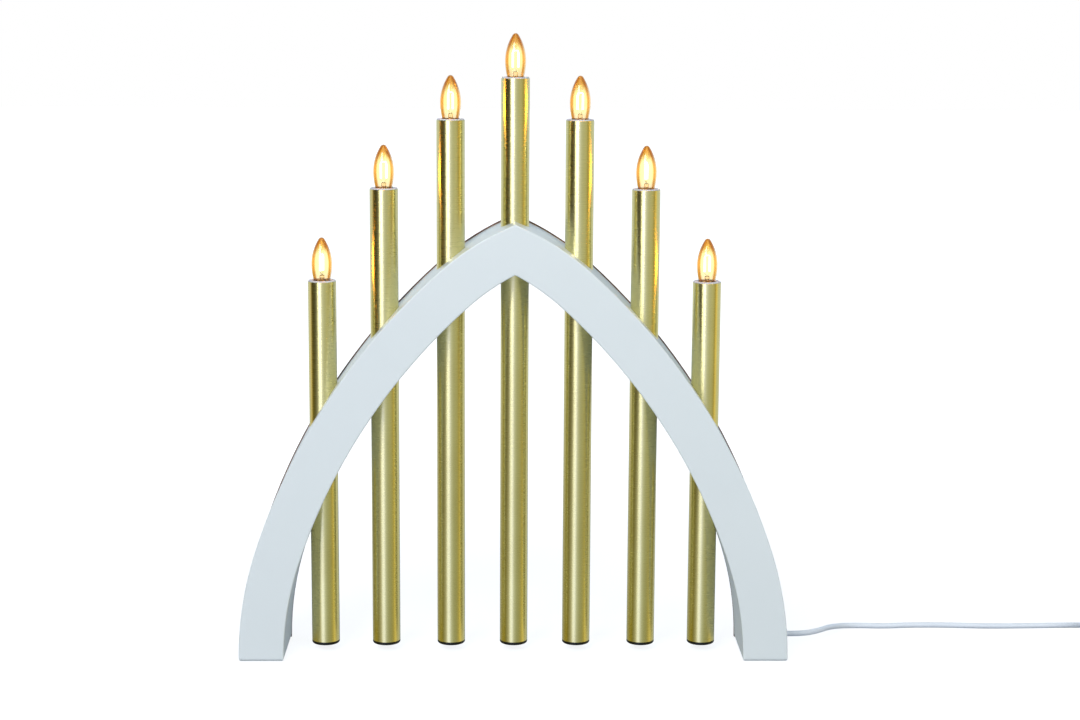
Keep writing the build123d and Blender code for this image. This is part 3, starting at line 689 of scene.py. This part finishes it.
def makeTubeTree():
    tree, given, result = newTree(
        "tube",
        "GeometryNodeTree",
        {
            "Geometry": "Geometry",
            "Radius": "Float",
            "Wall": "Float",
            "Edge Round": "Float",
            "Bottom": "Float",
            "Top": "Float",
            "Across": "Float",
            "Segments": "Int",
            "Material": "Material",
        },
        {"Geometry": "Geometry"},
    )
    length = addMath(tree, "SUBTRACT", given["Top"], given["Bottom"])
    ends = addMath(tree, "ADD", given["Top"], given["Bottom"])
    halfWall = addMath(tree, "MULTIPLY", given["Wall"], 0.5)
    wallCurve = addNode(
        tree,
        "GeometryNodeCurvePrimitiveQuadrilateral",
        {"Width": given["Wall"], "Height": length},
        mode="RECTANGLE",
    )
    rounded = addNode(
        tree,
        "GeometryNodeFilletCurve",
        {"Curve": wallCurve.outputs[0], "Radius": given["Edge Round"], "Count": 3},
        mode="POLY",
    )
    ring = addNode(
        tree,
        "GeometryNodeCurvePrimitiveCircle",
        {
            "Resolution": given["Segments"],
            "Radius": addMath(tree, "SUBTRACT", given["Radius"], halfWall),
        },
        mode="RADIUS",
    )
    upright = addNode(tree, "GeometryNodeSetCurveNormal", {"Curve": ring.outputs[0]}, mode="Z_UP")
    skin = addNode(
        tree,
        "GeometryNodeCurveToMesh",
        {"Curve": upright.outputs[0], "Profile Curve": rounded.outputs[0]},
    )
    middle = addMath(tree, "MULTIPLY", ends, 0.5)
    place = addNode(tree, "ShaderNodeCombineXYZ", {"X": given["Across"], "Z": middle})
    moved = addNode(
        tree,
        "GeometryNodeTransform",
        {"Geometry": skin.outputs[0], "Translation": place.outputs[0]},
    )
    endTree(tree, moved.outputs[0], given, result)
    return tree


def makeTubes():
    tree = makeTubeTree()
    for number, (x, top) in enumerate(tubes["tops"], 1):
        piece = growPiece(
            f"candleTube{number}",
            tree,
            {
                "Radius": tubes["radius"] * mm,
                "Wall": tubes["wall"] * mm,
                "Edge Round": tubes["edgeRound"] * mm,
                "Bottom": tubes["bottom"] * mm,
                "Top": top * mm,
                "Across": x * mm,
                "Segments": tubes["segments"],
                "Material": looks["brushedBrass"],
            },
        )
        dress(piece, looks["brushedBrass"], "arch", [f"candle_tube_{number}"])


makeArch()
print("arch made")
makeTubes()
print("tubes made")


# A set of equal pieces, placed by a node tree on points
def makeSetTree():
    tree, given, result = newTree(
        "placedSet",
        "GeometryNodeTree",
        {"Geometry": "Geometry", "Master": "Object", "Material": "Material"},
        {"Geometry": "Geometry"},
    )
    master = addNode(tree, "GeometryNodeObjectInfo", {"Object": given["Master"]})
    placed = addNode(
        tree,
        "GeometryNodeInstanceOnPoints",
        {"Points": given["Geometry"], "Instance": master.outputs["Geometry"]},
    )
    endTree(tree, placed.outputs[0], given, result)
    return tree


setTree = makeSetTree()


def placeSet(name, master, look, points, replaced):
    values = {"Master": master, "Material": looks[look]}
    piece = growPiece(name, setTree, values, points)
    bpy.data.objects.remove(master)
    return dress(piece, looks[look], "arch", replaced)


# Black end caps under the tubes
endCap = {
    "foot": 5.1,
    "height": 2.3,
    "round": 1.3,
    "roundSteps": 6,
    "radius": 10.0,
    "flatInset": 1.5,
    "lip": ((0.0, -0.25), (-0.2, -0.05)),
    "plugRadius": 9.1,
    "plugFoot": -0.05,
    "plugTop": 10.3,
    "steps": 72,
}


def makeEndCaps():
    c = endCap
    edge, plug = c["radius"] - c["round"], c["plugRadius"]
    profile = [(0, 0), (edge - c["flatInset"], 0)]
    profile += arc((edge, c["round"]), c["round"], -90, 0, c["roundSteps"])
    profile += [(c["radius"] + x, c["height"] + z) for x, z in c["lip"]]
    profile += [(plug, c["height"] + c["plugFoot"]), (plug, c["plugTop"]), (0, c["plugTop"])]
    master = addPiece("endCapMaster", [lathe(profile, c["steps"])])
    points = [(x, 0, c["foot"]) for x, _ in tubes["tops"]]
    placeSet("tubeEndCaps", master, "blackPlastic", points, ["tube_end_caps"])


# Lampholders: a thin pale flange on the tube and a stepped bore under it
holder = {
    "flangeRadius": 9.6,
    "flangeHeight": 0.8,
    "mouthRadius": 6.3,
    "mouthDepth": 4.4,
    "bodyRadius": 9.1,
    "length": 24.0,
    "sleeveSeat": 5.35,
    "floor": 18.0,
    "mouthCorner": ((0.0, -0.25), (0.07, -0.07), (0.25, 0.0)),
    "rimCorner": ((-0.3, 0.0), (-0.09, -0.09), (0.0, -0.3)),
    "flangeGap": 0.02,
    "steps": 72,
}


def makeHolders():
    h = holder
    seat, mouth, flange = h["sleeveSeat"], h["mouthRadius"], h["flangeRadius"]
    profile = [(0, -h["floor"]), (seat, -h["floor"])]
    profile += [(seat, -h["mouthDepth"]), (mouth, -h["mouthDepth"])]
    profile += [(mouth + x, h["flangeHeight"] + z) for x, z in h["mouthCorner"]]
    profile += [(flange + x, h["flangeHeight"] + z) for x, z in h["rimCorner"]]
    profile += [(flange, h["flangeGap"]), (h["bodyRadius"], h["flangeGap"])]
    profile += [(h["bodyRadius"], -h["length"]), (0, -h["length"])]
    master = addPiece("holderMaster", [lathe(profile, h["steps"])])
    points = [(x, 0, top) for x, top in tubes["tops"]]
    placeSet("lampholders", master, "whitePlastic", points, ["lampholder_bodies"])


makeEndCaps()
makeHolders()
print("end caps and lampholders made")

# Candle lamps, each on its own moving body
lamp = {
    "height": 31.0,
    "widest": 12.0,
    "radius": 7.25,
    "sideRadius": 44.0,
    "tipSideRadius": 33.0,
    "wall": 0.6,
    "shoulder": 2.6,
    "neckRadius": 4.3,
    "neckDepth": 7.0,
    "stemRadius": 1.7,
    "stemHeight": 4.6,
    "stemRound": 0.8,
    "neckGap": 0.05,
    "steps": 72,
    "arcSteps": (16, 20, 10),
    "stemSteps": 5,
    "sharpAngle": 60,
    "turns": (65, 10, 35, 0, 15, 70, 20),
}


def lampSide(inset):
    wide, tall = lamp["widest"], lamp["height"]
    low, high = lamp["sideRadius"], lamp["tipSideRadius"]
    lowSteps, highSteps, noseSteps = lamp["arcSteps"]
    shoulderTurn = math.degrees(math.asin((wide + lamp["shoulder"]) / low))
    lower = arc((lamp["radius"] - low, wide), low - inset, -shoulderTurn, 0, lowSteps)
    centre, above = lamp["radius"] - high, tall - wide
    nose = (high**2 - centre**2 - above**2) / (2 * (high - above))
    noseTurn = math.degrees(math.atan2(tall - nose - wide, -centre))
    upper = arc((centre, wide), high - inset, 0, noseTurn, highSteps)
    tip = arc((0, tall - nose), nose - inset, noseTurn, 90, noseSteps)
    return lower + upper[1:] + tip[1:-1] + [(0, tall - inset)]


def makeGlassPiece(number, place):
    neck, low, steps = lamp["neckRadius"], -lamp["neckDepth"], lamp["steps"]
    outer = [(0, low), (neck, low), (neck, lampCap["top"] - lamp["neckGap"])] + lampSide(0)
    stem, rise, r = lamp["stemRadius"], lamp["stemHeight"], lamp["stemRound"]
    stemTop = arc((stem - r, rise - r), r, 90, 0, lamp["stemSteps"])
    inner = [(0, rise)] + stemTop + [(stem, low + lamp["wall"])] + lampSide(lamp["wall"])
    walls = [lathe(profile, steps, place) for profile in (outer, inner)]
    piece = addPiece(f"lampGlass{number}", walls, lamp["sharpAngle"])
    turnInside(piece)
    addChart(piece, place)
    replaced = [f"bulb_{number}_glass"]
    return dress(piece, looks["lampGlass"], f"bulb_{number}", replaced)


def addChart(piece, place):
    chart = piece.data.uv_layers.new(name="glassChart")  # round the lamp, and up it
    for corner in piece.data.loops:
        point = piece.data.vertices[corner.vertex_index].co / mm - Vector(place)
        share = 0.5 + math.atan2(point.x, -point.y) / (2 * math.pi)
        chart.data[corner.index].uv = (share, point.z / lamp["height"])


def turnInside(piece):
    body = bmesh.new()
    body.from_mesh(piece.data)
    bmesh.ops.recalc_face_normals(body, faces=body.faces)
    seen, shells = set(), []
    for start in body.faces:
        if start in seen:
            continue
        shell, stack = [], [start]
        seen.add(start)
        while stack:
            face = stack.pop()
            shell.append(face)
            beside = {other for edge in face.edges for other in edge.link_faces} - seen
            seen |= beside
            stack += beside
        shells.append(shell)
    shells.sort(key=lambda shell: max(v.co.z for face in shell for v in face.verts))
    bmesh.ops.reverse_faces(body, faces=shells[0])  # the inner wall faces the hollow
    body.to_mesh(piece.data)
    body.free()


lampCap = {
    "radius": 4.765,
    "top": -3.0,
    "foot": -12.6,
    "pitch": 1.814,
    "threadDepth": 0.42,
    "threadTop": -4.6,
    "threadFoot": -11.6,
    "fade": 0.9,
    "footProfile": ((3.4, 0.1), (3.5, 0.0), (4.3, 0.0), (4.6, 0.12), (4.74, 0.35)),
    "rimProfile": ((4.765, -0.3), (4.645, -0.05), (4.45, 0.0), (4.35, -0.2), (4.33, -1.2)),
    "steps": 64,
    "rows": 80,
    "sharpAngle": 50,
}


def makeCapPiece(number, place):
    c = lampCap
    low, high, steps, rows = c["threadFoot"], c["threadTop"], c["steps"], c["rows"]
    points = []
    for z in [low + (high - low) * k / rows for k in range(rows + 1)]:
        ease = min(1, (z - low) / c["fade"], (high - z) / c["fade"])
        for s in range(steps):
            wave = 0.5 - 0.5 * math.cos(2 * math.pi * (z / c["pitch"] - s / steps))
            r = c["radius"] - c["threadDepth"] * ease * wave
            a = 2 * math.pi * s / steps
            points.append((place[0] + r * math.cos(a), place[1] + r * math.sin(a), place[2] + z))
    foot = [(r, c["foot"] + z) for r, z in c["footProfile"]] + [(c["radius"], low)]
    rim = [(c["radius"], high)] + [(r, c["top"] + z) for r, z in c["rimProfile"]]
    thread = (points, ringFaces(rows + 1, steps))
    shapes = [thread, lathe(foot, steps, place), lathe(rim, steps, place)]
    piece = addPiece(f"lampCap{number}", shapes, c["sharpAngle"])
    return dress(piece, looks["capNickel"], f"bulb_{number}", [f"bulb_{number}_cap"])


lampBase = {
    "disc": ((0, 1.5), (3.4, 1.5), (3.36, 0), (1.75, -1.25), (0, -1.25)),
    "tip": ((0, -1.2), (1.6, -1.25), (1.6, -1.7)),
    "tipRound": 0.5,
    "tipRoundSteps": 5,
    "tipRoundPlace": (1.1, -1.85),
    "tipFoot": -2.4,
    "steps": 40,
}


def makeTipPiece(number, place):
    b, (x, y, z) = lampBase, place
    foot = (x, y, z + lampCap["foot"])
    corner = arc(b["tipRoundPlace"], b["tipRound"], 0, -90, b["tipRoundSteps"])
    tip = [*b["tip"], *corner, (0, b["tipFoot"])]
    disc = addPiece(f"lampDisc{number}", [lathe(b["disc"], b["steps"], foot)])
    dress(disc, looks["insulator"], f"bulb_{number}_base", [f"bulb_{number}_contact"])
    solder = addPiece(f"lampTip{number}", [lathe(tip, b["steps"], foot)])
    dress(solder, looks["capNickel"], f"bulb_{number}_base")


filament = {
    "rodRadius": 0.7,
    "rodRound": 0.35,
    "roundSteps": 4,
    "rodSteps": 20,
    "length": 10.5,
    "spacing": 3.9,
    "foot": 7.3,
    "bridge": 0.4,
    "bridgePath": ((0, -0.5), (0, 0.5), (0.6, 1.2)),
    "lead": 0.25,
    "leadSpacing": 1.7,
    "leadSink": 0.5,
    "leadRise": 1.4,
    "leadBend": 0.9,
    "leadGrip": 0.2,
}


def makeFilament(number, place, turn):
    f = filament
    half, low, high = f["spacing"] / 2, f["foot"], f["foot"] + f["length"]
    r, core, steps = f["rodRound"], f["rodRadius"] - f["rodRound"], f["roundSteps"]
    profile = [(0, low)] + arc((core, low + r), r, -90, 0, steps)
    profile += arc((core, high - r), r, 0, 90, steps) + [(0, high)]
    rods = [lathe(profile, f["rodSteps"], (x, 0, 0)) for x in (-half, half)]
    bridge = [(x - half, 0, high + z) for x, z in f["bridgePath"]]
    bridge += [(-x, y, z) for x, y, z in reversed(bridge)]
    rods.append(rod(bridge, f["bridge"]))
    shapes = [(turned(points, turn, place), faces) for points, faces in rods]
    piece = addPiece(f"lampRods{number}", shapes)
    dress(piece, looks["rodLight"], f"bulb_{number}", [f"bulb_{number}_filament"])

    stem, start = lamp["stemHeight"] - f["leadSink"], f["leadSpacing"] / 2
    leads = []
    for side in (-1, 1):
        path = [(side * start, 0, stem), (side * start, 0, stem + f["leadRise"])]
        path += [(side * half, 0, low - f["leadBend"]), (side * half, 0, low + f["leadGrip"])]
        points, faces = rod(path, f["lead"])
        leads.append((turned(points, turn, place), faces))
    wires = addPiece(f"lampLeads{number}", leads)
    dress(wires, looks["capNickel"], f"bulb_{number}")


for number, ((x, top), turn) in enumerate(zip(tubes["tops"], lamp["turns"]), 1):
    place = (x, 0, top)
    makeGlassPiece(number, place)
    makeCapPiece(number, place)
    makeTipPiece(number, place)
    makeFilament(number, place, turn)
print("lamps made")

# Mains cord: the photographed stretch and the put-away coil on one spline
mainsCord = {
    "diameter": 4.0,
    "length": 1.8,
    "route": [
        (201.0, 12.0, 7.6),
        (213.5, 12.0, 7.6),
        (225.0, 18.0, 8.0),
        (234.5, 31.5, 6.6),
        (246.5, 46.3, 3.4),
        (262.0, 51.3, 2.0),
        (279.0, 49.6, 2.0),
        (300.0, 52.6, 2.0),
        (328.0, 52.2, 2.0),
        (358.0, 49.4, 2.0),
        (389.0, 50.6, 2.0),
        (421.0, 52.0, 2.0),
    ],
    "coilMiddle": (456.0, 23.7),
    "outerRadius": 28.3,
    "pitch": 4.6,
    "layerRise": 4.6,
    "layers": 4,
    "layerTurns": 2.1875,
    "climbTurns": 0.5,
    "pointsPerTurn": 20,
    "coilEntry": (444.0, 52.2, 2.0),
    "tailLevel": 12.0,
    "tailDrop": 24.0,
    "tailShares": ((0.0, 0.0), (0.25, 0.06), (0.5, 0.5), (0.75, 0.94), (1.0, 1.0)),
    "plugHeight": 7.0,
    "bevelSteps": 5,
    "lengthSteps": 6,
}


def coilPoints():
    c = mainsCord
    shrink = 0.75 + 0.25 * math.cos(2 * math.pi / c["pointsPerTurn"])  # a spline cuts its corners
    points, angle = [], 0.0
    radius, level = c["outerRadius"], c["diameter"] / 2
    for layer in range(c["layers"]):
        rate = -c["pitch"] if layer % 2 == 0 else c["pitch"]
        for length, climbs in ((c["layerTurns"], False), (c["climbTurns"], True)):
            if climbs and layer == c["layers"] - 1:
                continue
            steps = max(2, round(length * c["pointsPerTurn"]))
            for t in [k / steps for k in range(steps)]:
                r = radius + rate * length * ((t - t * t) if climbs else t)
                z = level + (c["layerRise"] * (3 * t * t - 2 * t**3) if climbs else 0)
                points.append((r, math.pi / 2 - 2 * math.pi * (angle + length * t), z))
            angle += length
            if climbs:
                level += c["layerRise"]
            else:
                radius += rate * length
    points.append((radius, math.pi / 2 - 2 * math.pi * angle, level))
    x, y = c["coilMiddle"]
    return [(x + r / shrink * math.cos(a), y + r / shrink * math.sin(a), z) for r, a, z in points]


def tailPoints(x, y, z):
    c = mainsCord
    foot, drop = y - c["tailLevel"], z - c["plugHeight"]
    tail = [(x, y - c["tailLevel"] / 2, z)]
    tail += [(x, foot - c["tailDrop"] * s, z - drop * h) for s, h in c["tailShares"]]
    return tail + [(x, foot - c["tailDrop"] - c["diameter"], c["plugHeight"])]


def makeCord():
    c = mainsCord
    coil = coilPoints()
    line = c["route"] + [c["coilEntry"]] + coil + tailPoints(*coil[-1])
    data = bpy.data.curves.new("mainsCord", "CURVE")
    data.dimensions = "3D"
    data.bevel_depth = c["diameter"] / 2 * mm
    data.bevel_resolution = c["bevelSteps"]
    data.use_fill_caps = True
    data.resolution_u = c["lengthSteps"]
    spline = data.splines.new("NURBS")
    spline.points.add(len(line) - 1)
    for point, place in zip(spline.points, line):
        point.co = (*(Vector(place) * mm), 1)
    spline.order_u = 3
    spline.use_endpoint_u = True
    cord = bpy.data.objects.new("mainsCord", data)
    scene.collection.objects.link(cord)
    dress(cord, looks["cordWhite"], "arch", ["mains_cord", "cord_coil"])


makeCord()
print("cord laid")

# The CAD pieces that keep their own shape get their finish here
cadFinishes = {
    "rawWood": ("foot_block_left", "foot_block_right", "cover_blocks"),
    "brownBoard": ("back_cover",),
    "zincSteel": ("back_cover_screws", "cord_clamp_screws"),
    "contactBrass": ("lampholder_sleeves", "lampholder_contacts"),
    "whitePlastic": ("wire_connector", "cord_clamp"),
    "wireInsulation": ("series_wiring",),
    "cordWhite": ("cord_inner_end", "cord_bush", "plug_body"),
    "pinNickel": ("plug_pins",),
}
for look, names in cadFinishes.items():
    for name in names:
        nodes[name].data.materials.clear()
        nodes[name].data.materials.append(looks[look])
print("CAD pieces finished")

# Studio: pale floor, soft lamps and a world that is white to the camera
studio = {
    "floorSize": 14.0,
    "floorLevel": -0.05,
    "floorColor": (0.30, 0.34, 0.40),
    "floorRoughness": 0.6,
    "floorSpecular": 0.1,
    "floorLift": (0.84, 1.0),
    "liftReach": (0.22, 0.7),
    "ambient": (0.27, 0.31, 0.355),
    "sky": (0.66, 0.80, 0.98),
    "skyLine": (-0.02, 0.12),
    "skyTurn": (0.0, 0.4),
    "belowLine": (-0.15, -0.27),
    # painted reflections that glossy rays see below the horizon
    "paintedReflectionBelow": [
        (0.0, (0.40, 0.48, 0.60)),
        (0.14, (0.28, 0.24, 0.08)),
        (0.2, (0.40, 0.34, 0.08)),
        (0.24, (0.42, 0.33, 0.03)),
        (0.29, (0.30, 0.27, 0.08)),
        (0.34, (0.52, 0.51, 0.38)),
        (0.385, (0.70, 0.70, 0.66)),
        (0.41, (1.05, 1.15, 1.65)),
        (0.455, (1.05, 1.15, 1.65)),
        (0.5, (0.60, 0.65, 0.66)),
        (0.57, (0.38, 0.40, 0.28)),
        (0.64, (0.32, 0.32, 0.17)),
        (0.69, (0.45, 0.39, 0.13)),
        (0.73, (0.92, 0.78, 0.28)),
        (0.8, (0.68, 0.63, 0.38)),
        (0.9, (0.52, 0.56, 0.54)),
        (0.96, (0.16, 0.22, 0.33)),
        (1.0, (0.24, 0.32, 0.44)),
    ],
    # painted reflections that glossy rays see around the set; the amber bands stand for lit
    # neighbouring tubes
    "paintedReflection": [
        (0.0, (0.75, 0.85, 0.95)),
        (0.17, (0.9, 0.85, 0.7)),
        (0.185, (1.1, 0.9, 0.5)),
        (0.215, (0.9, 0.66, 0.2)),
        (0.245, (0.14, 0.09, 0.02)),
        (0.27, (0.03, 0.022, 0.01)),
        (0.35, (0.03, 0.022, 0.01)),
        (0.395, (0.38, 0.37, 0.28)),
        (0.425, (0.9, 0.93, 0.95)),
        (0.44, (1.05, 1.1, 1.7)),
        (0.475, (1.0, 1.05, 1.6)),
        (0.515, (0.78, 0.82, 0.86)),
        (0.56, (0.64, 0.66, 0.60)),
        (0.61, (0.66, 0.66, 0.5)),
        (0.665, (0.6, 0.58, 0.36)),
        (0.69, (0.32, 0.26, 0.1)),
        (0.72, (0.9, 0.66, 0.16)),
        (0.755, (1.0, 0.85, 0.4)),
        (0.785, (0.75, 0.72, 0.5)),
        (0.92, (0.85, 0.85, 0.8)),
        (0.97, (0.18, 0.24, 0.32)),
        (1.0, (0.3, 0.36, 0.42)),
    ],
    "lamps": [
        ("key", (-0.9, -1.9, 1.6), (1.1, 1.1), 31.0),
        ("fill", (1.3, -1.9, 1.1), (1.2, 1.2), 14.5),
        ("top", (0.0, 0.1, 1.9), (1.6, 1.6), 2.0),
    ],
    "unmirrored": ("fill",),
    "aim": (0.0, 0.0, 0.2),
}


# Painted reflections, seen only by glossy rays: bright panels, dark screens and amber bands that
# stand for the lit neighbouring tubes, by compass direction
def makePaintedReflectionGroup():
    group, given, result = newTree(
        "paintedStudioReflection", "ShaderNodeTree", {"Direction": "Vector"}, {"Color": "Color"}
    )
    parts = addNode(group, "ShaderNodeSeparateXYZ", {0: given["Direction"]})
    front = addMath(group, "MULTIPLY", parts.outputs["Y"], -1.0)
    angle = addMath(group, "ARCTAN2", parts.outputs["X"], front)
    share = addRange(group, angle, -math.pi, math.pi, smooth=False)
    level, below = (addPanels(group, share, studio[key]) for key in ("paintedReflection", "paintedReflectionBelow"))
    lowness = addRange(group, parts.outputs["Z"], *studio["belowLine"])
    group.links.new(addMix(group, lowness, level, below), result["Color"])
    return group


def addPanels(tree, share, marks):
    ramp = addNode(tree, "ShaderNodeValToRGB", {0: share})
    stops = ramp.color_ramp.elements
    while len(stops) > 1:
        stops.remove(stops[-1])
    (stops[0].position, colour), *others = marks
    stops[0].color = (*colour, 1)
    for place, colour in others:
        stops.new(place).color = (*colour, 1)
    return ramp.outputs[0]


def seenRays(tree):
    rays = addNode(tree, "ShaderNodeLightPath").outputs
    seen = addMath(tree, "MAXIMUM", rays["Is Camera Ray"], rays["Is Transmission Ray"])
    return seen, rays["Is Glossy Ray"]


def makeFloor():
    half, level = studio["floorSize"] / mm / 2, studio["floorLevel"]
    plane = [(x * half, y * half, level) for x, y in ((-1, -1), (1, -1), (1, 1), (-1, 1))]
    floor = addPiece("floor", [(plane, [(0, 1, 2, 3)])])
    material, tree, shader = newMaterial(
        "paleFloor",
        {
            "Base Color": (*studio["floorColor"], 1),
            "Roughness": studio["floorRoughness"],
            "Specular IOR Level": studio["floorSpecular"],
            "Emission Strength": 1.0,
        },
    )
    seen, _ = seenRays(tree)
    away = addNode(tree, "ShaderNodeVectorMath", {0: objectPlace(tree)}, operation="LENGTH")
    lift = addRange(tree, away.outputs["Value"], *studio["liftReach"], *studio["floorLift"])
    white = addNode(tree, "ShaderNodeCombineXYZ", {0: lift, 1: lift, 2: lift}).outputs[0]
    tree.links.new(addMix(tree, seen, (0, 0, 0), white), shader.inputs["Emission Color"])
    floor.data.materials.append(material)
    # glossy rays pass the floor and see the world's painted reflections
    floor.visible_glossy = False  # metal and gloss mirror the world's panels instead


def makeWorld():
    world = bpy.data.worlds.new("studio")
    world.use_nodes = True
    scene.world = world
    tree = world.node_tree
    tree.nodes.clear()
    heading = addNode(tree, "ShaderNodeTexCoord").outputs["Generated"]
    parts = addNode(tree, "ShaderNodeSeparateXYZ", {0: heading}).outputs
    above = addRange(tree, parts["Z"], *studio["skyLine"])
    behind = addRange(tree, parts["Y"], *studio["skyTurn"])
    skyShare = addMath(tree, "MULTIPLY", above, behind)
    mirrored = placeGroup(tree, makePaintedReflectionGroup(), {"Direction": heading}).outputs["Color"]
    mirrored = addMix(tree, skyShare, mirrored, studio["sky"])
    seen, glossy = seenRays(tree)
    # glossy rays see the painted reflections, other rays the ambient light, the camera white
    shown = addMix(tree, glossy, studio["ambient"], mirrored)
    shown = addMix(tree, seen, shown, (1, 1, 1))
    sky = addNode(tree, "ShaderNodeBackground", {"Color": shown, "Strength": 1.0})
    addNode(tree, "ShaderNodeOutputWorld", {"Surface": sky.outputs[0]})


def makeLamps():
    for name, place, size, power in studio["lamps"]:
        data = bpy.data.lights.new(name, "AREA")
        data.shape = "RECTANGLE"
        data.size, data.size_y = size
        data.energy = power
        light = bpy.data.objects.new(name, data)
        scene.collection.objects.link(light)
        light.location = place
        light.visible_glossy = name not in studio["unmirrored"]
        aim = Vector(studio["aim"]) - light.location
        light.rotation_euler = aim.to_track_quat("-Z", "Y").to_euler()


makeFloor()
makeWorld()
makeLamps()
print("studio lit")

bpy.context.view_layer.update()
